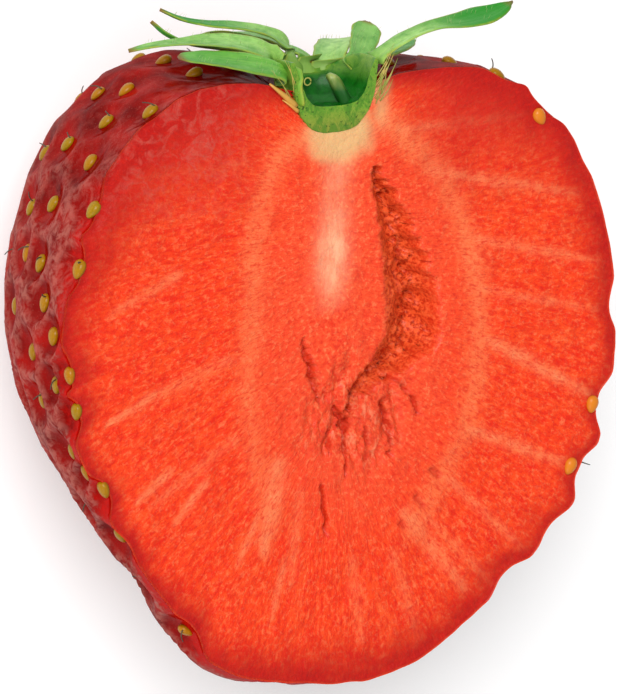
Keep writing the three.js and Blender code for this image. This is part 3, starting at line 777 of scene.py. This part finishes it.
def seed_material():
    s = Shader("achene")
    place = s.place()
    tint = s.number("tint")
    grain = s.noise(place, 7.0, 2.0, 0.6)
    s.ground(tint, (134, 106, 0), (154, 96, 0))
    s.paint(s.span(grain, 0.4, 0.7, 0.0, 0.5), 168, 122, 8)
    s.paint(s.span(tint, 1.0, 2.0), 202, 116, 26)
    # Painted shade: darker brown on the underside of each seed, and toward its narrow end.
    s.paint(s.number("foot"), 96, 58, 20)
    return s.finished(
        Roughness=0.34, Normal=s.bump(grain, 0.3, 0.03),
        Specular_IOR_Level=0.12, Coat_Weight=0.15, Coat_Roughness=0.2,
    )


def thread_material():
    s = Shader("style_thread")
    s.ground(s.number("tip"), (84, 60, 30), (30, 44, 30))
    return s.finished(Roughness=0.6)


def sepal_material():
    """Living leaf: veins along the blade, a paler underside, painted shade toward one edge, and a dry brown
    tip.
    """
    s = Shader("sepal_leaf")
    place = s.place()
    blade = s.vector("blade")
    across, along, side = s.parts(blade)
    pale, warm, fade = s.parts(s.vector("tone"))
    pale = s.math("SUBTRACT", pale, s.times(fade, s.span(along, 0.45, 0.75)))
    mottle = s.noise(place, 1.1, 4.0, 0.6, 0.3)
    veins = s.noise(s.scaled(blade, (9.0, 1.3, 0.0)), 1.0, 2.0, 0.6, 0.15)
    cells = s.noise(place, 8.0, 3.0, 0.65)

    s.ground(pale, (34, 126, 26), (156, 196, 112))
    s.paint(s.times(warm, 0.8), 104, 172, 44)
    s.paint(s.span(mottle, 0.4, 0.7, 0.0, 0.6), 48, 120, 40)
    s.paint(s.span(veins, 0.54, 0.7, 0.0, 0.5), 160, 194, 96)
    s.paint(s.times(side, 0.5), 146, 172, 112)
    s.paint(s.span(along, 0.05, 0.3, 0.8, 0.0), 114, 150, 40)
    # Painted shade: each blade darker toward one edge.
    s.paint(s.span(across, 0.1, 1.0, 0.0, 0.45), 44, 112, 44)
    s.paint(s.times(fade, s.span(along, 0.42, 0.72, 0.0, 0.85)), 24, 126, 22)
    edge = s.span(s.math("ABSOLUTE", across), 0.84, 0.98)
    edge = s.times(edge, s.span(mottle, 0.4, 0.6, 0.2, 0.8))
    s.paint(edge, 150, 156, 52)
    s.paint(s.span(along, 0.94, 1.0, 0.0, 0.9), 120, 74, 36)
    normal = s.bump(veins, 0.3, 0.08)
    normal = s.bump(cells, 0.3, 0.04, normal)
    return s.finished(
        Roughness=s.span(mottle, 0.3, 0.7, 0.42, 0.6), Normal=normal,
        Subsurface_Weight=0.15, Subsurface_Radius=(0.4, 0.7, 0.15), Subsurface_Scale=0.4 * MM,
        Specular_IOR_Level=0.2, Coat_Weight=0.04, Coat_Roughness=0.35,
    )


def calyx_material():
    """The cup: dark green with painted shade deepening down its hollow, yellow-green and granular where the
    knife opened it.
    """
    s = Shader("calyx_cup")
    place = s.place()
    mottle = s.noise(place, 1.2, 4.0, 0.62, 0.4)
    grains = s.noise(place, 6.0, 3.0, 0.7)
    s.ground(s.span(mottle, 0.32, 0.68), (52, 112, 30), (128, 158, 52))
    # Painted shade: dark green that deepens down into the hollow.
    painted_hollow_shade = s.blend(s.span(mottle, 0.35, 0.65), linear(0, 68, 4), linear(10, 104, 16))
    s.color = s.blend(s.number("hollow"), s.color, painted_hollow_shade)
    runs = s.noise(s.scaled(place, (1.7, 0.8, 1.0)), 1.0, 4.0, 0.66, 0.6)
    fresh = s.blend(s.span(s.parts(place)[1], 17.4, 18.8), linear(130, 130, 48), linear(92, 142, 40))
    fresh = s.blend(s.span(grains, 0.42, 0.62, 0.0, 0.5), fresh, linear(140, 152, 60))
    fresh = s.blend(s.span(runs, 0.55, 0.40, 0.0, 0.75), fresh, linear(64, 116, 32))
    specks = s.span(s.noise(place, 4.5, 2.0, 0.6), 0.62, 0.68, 0.0, 0.8)
    fresh = s.blend(specks, fresh, linear(40, 62, 22))
    s.color = s.blend(s.number("cut"), s.color, fresh)
    s.paint(s.span(mottle, 0.56, 0.68, 0.0, 0.7), 30, 84, 30)
    normal = s.bump(mottle, 0.4, 0.15)
    normal = s.bump(grains, 0.4, 0.05, normal)
    return s.finished(
        Roughness=0.36, Normal=normal, Subsurface_Weight=0.12,
        Subsurface_Radius=(0.5, 0.8, 0.2), Subsurface_Scale=0.5 * MM,
        Specular_IOR_Level=0.15, Coat_Weight=0.05, Coat_Roughness=0.2,
    )


def stub_material():
    s = Shader("stem_stub")
    place = s.place()
    grain = s.noise(s.scaled(place, (3.0, 0.6, 3.0)), 1.0, 3.0, 0.6)
    s.ground(s.span(grain, 0.35, 0.65), (112, 138, 54), (160, 166, 88))
    # Painted shade: darker green toward the stub's foot, down in the cup's hollow.
    s.paint(s.span(s.parts(place)[1], 20.9, 19.7), 26, 88, 26)
    return s.finished(Roughness=0.45, Normal=s.bump(grain, 0.4, 0.08), Coat_Weight=0.1, Coat_Roughness=0.3)


def stitch(rings, size):
    """Faces that join so many rings of points of one size, with both ends closed."""
    faces = []
    for ring in range(rings - 1):
        for k in range(size):
            a = ring * size + k
            b = ring * size + (k + 1) % size
            faces.append((a, b, b + size, a + size))
    faces.append(tuple(range(size))[::-1])
    end = (rings - 1) * size
    faces.append(tuple(range(end, end + size)))
    return faces


def join(points, faces, more_points, more_faces):
    """Adds the points and faces of one part to those of its piece."""
    faces += [tuple(len(points) + v for v in face) for face in more_faces]
    points += more_points


def seed_luck(draw):
    """A fixed number from 0 to 1 for each seed."""
    return scatter(np.arange(len(SEEDS))[:, None], draw)


def ways_at(direction):
    """The ways along the skin at a seed: toward the fruit's tip, and across."""
    toward_tip = np.array([0.0, -1.0, 0.0]) + direction * direction[1]
    toward_tip /= np.linalg.norm(toward_tip)
    return toward_tip, np.cross(direction, toward_tip)


def seed_poses():
    """Middle, way out, way along, size and tint of each achene."""
    poses = []
    radii, _ = skin_shape(SEEDS)
    for i, (direction, radius, turn, growth) in enumerate(zip(SEEDS, radii, seed_luck(41), seed_luck(42))):
        if 0 < len(PLACED_SEEDS) - i <= len(SEEDS_IN_CUT):
            continue
        toward_tip, across = ways_at(direction)
        angle = SEED_TURN * (turn - 0.5)
        along = toward_tip * math.cos(angle) + across * math.sin(angle)
        poses.append((MIDDLE + direction * (radius + 0.05), direction, along, 0.92 + 0.18 * growth, turn))
    for x, y, bearing in SEEDS_IN_CUT:
        angle = math.radians(bearing)
        along = np.array([math.sin(angle), -math.cos(angle), 0.0])
        middle = np.array([x, y, CUT_HEIGHT - SEED_SUNK])
        poses.append((middle, np.array([0.0, 0.0, 1.0]), along, 1.0, TINT_IN_CUT))
    return poses


def seeds_piece():
    """All achenes: flattened drops, each a little turned, deep in its dimple."""
    shares = np.sin(np.linspace(-math.pi / 2, math.pi / 2, SEED_ROWS))
    shares[0], shares[-1] = -0.995, 0.995
    drop_faces = [face[::-1] for face in stitch(SEED_ROWS, SEED_SIDES)]
    points, faces, tint, foot = [], [], [], []
    for centre, direction, along, size, tone in seed_poses():
        wide = np.cross(direction, along)
        drop = []
        for share, k in itertools.product(shares, range(SEED_SIDES)):
            girth = math.sqrt(1 - share**2) * (1 - 0.22 * share)
            turn = 2 * math.pi * k / SEED_SIDES
            out = math.sin(turn) * girth * SEED_THICKNESS / 2
            side = math.cos(turn) * girth * SEED_WIDTH / 2
            drop.append(centre + size * (along * share * SEED_LENGTH / 2 + wide * side + direction * out))
            # Painted shade on the underside that sits in the skin, and a darker narrow end.
            foot.append(max(0.0, -math.sin(turn)) * 0.6 + 0.5 * max(0.0, share - 0.7))
        tint += [tone] * len(drop)
        join(points, faces, drop, drop_faces)
    piece = new_mesh("berry_seeds", points, faces)
    mark(piece, "tint", tint)
    mark(piece, "foot", foot)
    return piece


def tube(path, radii, sides=5):
    """Points and faces of a thin tapering tube along a path."""
    path = np.asarray(path, float)
    points = []
    for i, centre in enumerate(path):
        along = path[min(i + 1, len(path) - 1)] - path[max(i - 1, 0)]
        along /= np.linalg.norm(along)
        side = np.cross(along, [0.31, 0.77, 0.56])
        side /= np.linalg.norm(side)
        other = np.cross(along, side)
        for k in range(sides):
            turn = 2 * math.pi * k / sides
            points.append(centre + radii[i] * (side * math.cos(turn) + other * math.sin(turn)))
    return points, stitch(len(path), sides)


def threads_piece():
    """The dry styles that still hang on some of the seeds."""
    shares = np.linspace(0, 1, 7)
    radii, _ = skin_shape(SEEDS)
    points, faces, tips = [], [], []
    for direction, radius, luck, lean, way in zip(SEEDS, radii, seed_luck(51), seed_luck(52), seed_luck(53)):
        if luck > SHARE_WITH_STYLE:
            continue
        toward_tip, across = ways_at(direction)
        turn = way * 2 * math.pi
        bend = toward_tip * math.cos(turn) + across * math.sin(turn)
        start = MIDDLE + direction * (radius + 0.15) - toward_tip * 0.45 + across * 0.25
        length = 0.5 + 0.5 * lean
        path = [
            start + length * (direction * share * (1 - 0.25 * share) + bend * 0.75 * share**2)
            for share in shares
        ]
        join(points, faces, *tube(path, np.linspace(0.06, 0.035, 7)))
        tips += list(np.repeat(shares, 5))
    piece = new_mesh("berry_style_threads", points, faces)
    mark(piece, "tip", tips)
    return piece


def evenly(line, count):
    """Evenly spaced points along a line, how far along it they are, and how far its own points are."""
    steps = np.concatenate([[0], np.cumsum(np.linalg.norm(np.diff(line, axis=0), axis=1))])
    even = np.linspace(0, steps[-1], count)
    return np.stack([np.interp(even, steps, values) for values in line.T], axis=1), even, steps


def spline(points, count):
    """Evenly spaced points on a smooth curve through the given points."""
    points = np.asarray(points, float)
    steps = np.concatenate([[0], np.cumsum(np.sqrt(np.linalg.norm(np.diff(points, axis=0), axis=1)))])
    curve = hermite(steps, points, np.gradient(points, steps, axis=0), np.linspace(0, steps[-1], 400))
    return evenly(curve, count)[0]


def unit(vectors):
    return vectors / np.linalg.norm(vectors, axis=-1, keepdims=True)


def leaf_frame(line, ways):
    """A leaf's middle line from the cup's wall out, with the ways across it and out of its upper face."""
    first = np.array(line[0])
    outward = unit(np.array([first[0] - CUP_AXIS[0], 0, first[2] - CUP_AXIS[1]]))
    axis = np.array([CUP_AXIS[0], 0, CUP_AXIS[1]])
    wall = [axis + outward * r + np.array([0, first[1] - drop, 0]) for r, drop in (LEAF_FOOT, LEAF_KNEE)]
    centre = spline([*wall, *line], SEPAL_ROWS)
    along = unit(np.gradient(centre, axis=0))
    share = np.linspace(0, 1, SEPAL_ROWS)[:, None]
    turn = smoothstep(0.0, 0.3, share)
    facing = unit(outward * (1 - turn) + (np.array(ways[0]) * (1 - share) + np.array(ways[1]) * share) * turn)
    across = unit(np.cross(facing, along))
    return centre, across, np.cross(along, across)


def sepal_piece(number, name, width, outline, curl, tone, line, ways):
    """One leaf of the calyx, from its foot on the cup's wall out to its tip."""
    centre, across, out = leaf_frame(line, ways)
    share = np.linspace(0, 1, SEPAL_ROWS)
    half_width = width / 2 * smooth_curve(*OUTLINES[outline], share)
    columns = np.linspace(-1, 1, SEPAL_COLUMNS)
    phase = 1.7 * number
    ragged = 1 + 0.03 * np.sin(share * 17 + phase * 3) + 0.02 * np.sin(share * 41 + phase)
    grid = []
    for side, u in itertools.product((1, -1), columns):
        reach = half_width * u * ragged
        bend = curl * u * u * half_width
        wave = 0.10 * u * u * np.sin(share * 7 + phase + 2.1 * u)
        rib = -0.05 * math.exp(-((u / 0.13) ** 2)) + 0.02 * math.cos(u * 9)
        thick = SEPAL_THICKNESS / 2 * (0.35 + 0.65 * math.sqrt(max(1 - u * u, 0)))
        offset = (bend + wave + rib)[:, None] * out + side * thick * out * (1 - 0.4 * share[:, None])
        grid.append(centre + across * reach[:, None] + offset)
    upper = np.array(grid[:SEPAL_COLUMNS])
    lower = np.array(grid[SEPAL_COLUMNS:])[::-1]
    points = np.concatenate([upper, lower]).swapaxes(0, 1).reshape(-1, 3)
    piece = new_mesh(name + "_leaf", points, stitch(SEPAL_ROWS, 2 * SEPAL_COLUMNS))
    round_it = [*((u, 0.0) for u in columns), *((u, 1.0) for u in columns[::-1])]
    mark(piece, "blade", [(u, place, side) for place in share for u, side in round_it])
    mark(piece, "tone", np.tile(tone, (len(points), 1)))
    return piece, upper, out


def cup_section():
    """The turned line of the cup's outside and hollow, evenly spaced, and which of its points are inside."""
    line, even, steps = evenly(np.array([*CUP_OUTSIDE, *CUP_INSIDE]), CUP_ROWS)
    return line, even > steps[len(CUP_OUTSIDE)] - 0.1


def cup_piece():
    """The calyx cup, turned, roughened and opened by the knife, with closed cut faces."""
    turn = np.linspace(0, 2 * math.pi, CUP_SIDES, endpoint=False)
    across = np.cos(turn)
    up = np.sin(turn)
    power = 2 / CUP_SQUARENESS
    across = np.where(up > 0, np.sign(across) * np.abs(across) ** power, across)
    up = np.where(up > 0, np.abs(up) ** power, up)
    rim_lift = cloud(np.stack([across * 1.6, up * 1.6], axis=1), 63)
    points, hollow = [], []
    for (radius, y), inside in zip(*cup_section()):
        place = np.stack([across * 1.5, up * 1.5, np.full(CUP_SIDES, y * 0.8)], axis=1)
        bumps = 0.10 * cloud(place, 61) + 0.05 * cloud(place * 2.7, 62)
        r = np.maximum(radius, 0.01) * (1 + 0.5 * bumps / max(radius, 0.6))
        shape = CUP_RISE_AT_CUT * np.abs(across) ** 6 - CUP_FALL_AT_BACK * np.clip(-up, 0, 1) ** 2
        lift = 0.3 * bumps + smoothstep(20.3, 21.6, y) * (0.25 * rim_lift + shape)
        points += list(np.stack([CUP_AXIS[0] + r * across, y + lift, CUP_AXIS[1] + r * up], axis=1))
        # The hollow mask: painted shade that deepens over 1.6 mm down from the hollow's rim.
        hollow += [float(inside) * float(smoothstep(0.0, 1.6, CUP_INSIDE[0][1] - y))] * CUP_SIDES
    piece = new_mesh("calyx_cup_open", points, stitch(CUP_ROWS, CUP_SIDES))
    mark(piece, "hollow", hollow)
    mark(piece, "cut", np.zeros(len(points)))
    open_with_knife(piece)
    return piece


def open_with_knife(piece):
    """Takes away what stands above the cut plane and closes the cut, marked for its own colour."""
    mesh = piece.data
    bm = bmesh.new()
    bm.from_mesh(mesh)
    plane = dict(plane_co=(0, 0, CUT_HEIGHT * MM), plane_no=(0, 0, 1))
    bmesh.ops.bisect_plane(bm, geom=[*bm.verts, *bm.edges, *bm.faces], clear_outer=True, **plane)
    rim = [edge for edge in bm.edges if edge.is_boundary]
    filled = bmesh.ops.triangle_fill(bm, edges=rim, use_beauty=True, normal=(0, 0, 1))
    cut = bm.verts.layers.float["cut"]
    for face in filled["geom"]:
        if isinstance(face, bmesh.types.BMFace):
            face.smooth = False
            for vert in face.verts:
                vert[cut] = 1.0
    bmesh.ops.recalc_face_normals(bm, faces=bm.faces)
    bm.to_mesh(mesh)
    bm.free()


def stub_piece():
    """The stub of the stem that leans in the cup's hollow, with a torn, rounded end."""
    slope = math.tan(math.radians(STUB_LEAN))
    points = []
    for row, k in itertools.product(range(STUB_ROWS), range(STUB_SIDES)):
        share = row / (STUB_ROWS - 1)
        turn = 2 * math.pi * k / STUB_SIDES
        rise = (STUB_TOP - STUB_FOOT) * share
        dome = math.sqrt(max(1 - max(0, (share - 0.8) / 0.2) ** 2, 0.02))
        bumps = 1 + 0.07 * math.sin(5 * turn + 1) + 0.05 * math.sin(3 * turn + 9 * share)
        r = STUB_RADIUS * (1.15 - 0.25 * share) * dome * bumps
        x = CUP_AXIS[0] + STUB_OFFSET - slope * rise + r * math.cos(turn)
        points.append((x, STUB_FOOT + rise, CUP_AXIS[1] + r * math.sin(turn)))
    return new_mesh("calyx_stem_stub", points, stitch(STUB_ROWS, STUB_SIDES))


def strand_lines():
    """Start, end, radius and paleness of each fibre beside the cup and of each sliver of its wall."""
    lines = []
    for i in range(STRANDS):
        luck = [scatter(np.array([[i]]), draw)[0] for draw in (81, 82, 83, 84)]
        side = 1 if i % 6 else -1
        x = CUP_AXIS[0] + side * (3.1 + 0.6 * luck[0])
        start = np.array([x, 18.4 + 2.4 * luck[1], CUT_HEIGHT - 0.02])
        way = np.array([side * (0.15 + 0.6 * luck[2]), 1.0, 0.0])
        end = start + way * (1.1 + 1.3 * luck[3])
        lines.append((start, end, 0.03 + 0.02 * luck[0], 0.2 + 0.7 * luck[1]))
    for foot, tip, radius in SLIVERS:
        lines.append((np.array([*foot, CUT_HEIGHT]), np.array([*tip, CUT_HEIGHT]), radius, 2.0))
    return lines


def strands_piece():
    """Fine raw fibres, two slivers and a small ring of the cup's wall, laid over the flesh beside it."""
    points, faces, pale = [], [], []
    shares = np.linspace(0, 1, 9)
    for start, end, radius, tone in strand_lines():
        path = [start + (end - start) * share + (0, 0, 0.2 * math.sin(math.pi * share)) for share in shares]
        join(points, faces, *tube(path, radius * np.linspace(1.0, 0.15, 9) ** 0.7, sides=6))
        pale += [tone] * (len(points) - len(pale))
    middle = np.array([*RING_PLACE, CUT_HEIGHT + 0.03])
    turns = np.linspace(0, 1.9 * math.pi, 15)
    ring = [middle + RING_RADIUS * np.array([math.cos(turn), math.sin(turn), 0]) for turn in turns]
    join(points, faces, *tube(ring, np.full(15, RING_WIRE), sides=6))
    pale += [0.3] * (len(points) - len(pale))
    piece = new_mesh("calyx_strands", points, faces)
    mark(piece, "pale", pale)
    return piece


def strand_material():
    s = Shader("raw_strand")
    pale = s.number("pale")
    raw = s.blend(s.span(s.noise(s.place(), 2.0), 0.4, 0.6), linear(150, 150, 62), linear(204, 166, 84))
    s.color = s.blend(pale, linear(112, 136, 44), raw)
    s.paint(s.span(pale, 1.0, 2.0, 0.0, 0.8), 196, 138, 54)
    return s.finished(Roughness=0.4)


def hairs_piece(leaves):
    """Fine pale hairs on the upper faces of the sepals."""
    points, faces = [], []
    for (number, (upper, out)), i in itertools.product(enumerate(leaves), range(HAIRS_ON_LEAF)):
        luck = np.array([scatter(np.array([[i, number]]), draw)[0] for draw in (71, 72, 73)])
        row = int(4 + luck[0] * (SEPAL_ROWS - 8))
        start = upper[int(luck[1] * (SEPAL_COLUMNS - 1) + 0.5), row]
        way = unit(out[row] + 0.8 * (luck - 0.5))
        tip = start + way * 0.30 + np.array([0.05, 0.03, 0]) * luck[2]
        path = [start - way * 0.03, start + way * 0.16, tip]
        join(points, faces, *tube(path, (0.013, 0.010, 0.005), sides=3))
    return new_mesh("sepal_hairs", points, faces)


def hair_material():
    s = Shader("leaf_hair")
    s.ground(s.noise(s.place(), 3.0), (150, 180, 104), (186, 200, 140))
    return s.finished(Roughness=0.5)


def dress(piece, material, slot, *nodes):
    """Gives a piece its material and its body, and hides the nodes that it stands for; the slot is not used.
    """
    piece.data.materials.append(material)
    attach(piece, "root")
    if nodes:
        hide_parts(*nodes)


def add_camera():
    yaw, pitch = math.radians(CAMERA_YAW), math.radians(CAMERA_PITCH)
    toward = Vector((-math.sin(yaw) * math.cos(pitch), math.sin(pitch), math.cos(yaw) * math.cos(pitch)))
    right = Vector((0, 1, 0)).cross(toward).normalized()
    up = toward.cross(right)
    target = Vector((0, 0, CUT_HEIGHT))
    eye = target + toward * CAMERA_DISTANCE
    off_centre = [(size / 2 - pixel) * MM_PER_PIXEL for size, pixel in zip(PHOTO_SIZE, LOOK_PIXEL)]
    aim = target + right * off_centre[0] - up * off_centre[1]
    back = (eye - aim).normalized()
    right = up.cross(back).normalized()
    up = back.cross(right)
    data = bpy.data.cameras.new("camera")
    data.sensor_width = SENSOR_MM
    data.lens = SENSOR_MM * CAMERA_DISTANCE / (max(PHOTO_SIZE) * MM_PER_PIXEL)
    data.clip_start = 0.01
    camera = bpy.data.objects.new("camera", data)
    camera.matrix_world = Matrix.Translation(eye * MM) @ Matrix((right, up, back)).transposed().to_4x4()
    bpy.context.scene.collection.objects.link(camera)
    bpy.context.scene.camera = camera


def add_light(name, place, size, power):
    data = bpy.data.lights.new(name, "AREA")
    data.shape = "DISK"
    data.size = size
    data.energy = power
    light = bpy.data.objects.new(name, data)
    light.location = place
    light.rotation_euler = (Vector(place) - Vector(LIGHT_AIM)).to_track_quat("Z", "Y").to_euler()
    bpy.context.scene.collection.objects.link(light)


def add_studio():
    """A pale floor, an even white surround and two large soft lights."""
    bpy.ops.mesh.primitive_plane_add(size=FLOOR_SIZE, location=(0, 0, 0))
    floor = bpy.context.object
    floor.name = "studio_floor"
    s = Shader("studio_floor")
    s.color = (FLOOR_TONE, FLOOR_TONE, FLOOR_TONE, 1)
    floor.data.materials.append(s.finished(Roughness=0.9, Specular_IOR_Level=0.0))
    world = bpy.data.worlds.new("studio")
    bpy.context.scene.world = world
    world.use_nodes = True
    background = world.node_tree.nodes["Background"]
    background.inputs["Color"].default_value = (1, 1, 1, 1)
    background.inputs["Strength"].default_value = SURROUND_STRENGTH
    for light in LIGHTS:
        add_light(*light)
    bpy.context.scene.view_settings.view_transform = "Standard"


def build():
    fruit = fruit_mesh()
    dress(fruit, flesh_material(), "flesh_and_skin", "berry_half")
    fruit.data.materials.append(skin_material())
    dress(seeds_piece(), seed_material(), "seed")
    dress(threads_piece(), thread_material(), "seed")
    dress(cup_piece(), calyx_material(), "calyx", "calyx_cup")
    dress(stub_piece(), stub_material(), "calyx")
    dress(strands_piece(), strand_material(), "calyx")
    leaf = sepal_material()
    leaves = []
    for number, sepal in enumerate(SEPALS):
        piece, upper, out = sepal_piece(number, *sepal)
        dress(piece, leaf, "sepal", sepal[0])
        leaves.append((upper, out))
    dress(hairs_piece(leaves), hair_material(), "sepal")


add_camera()
add_studio()
build()
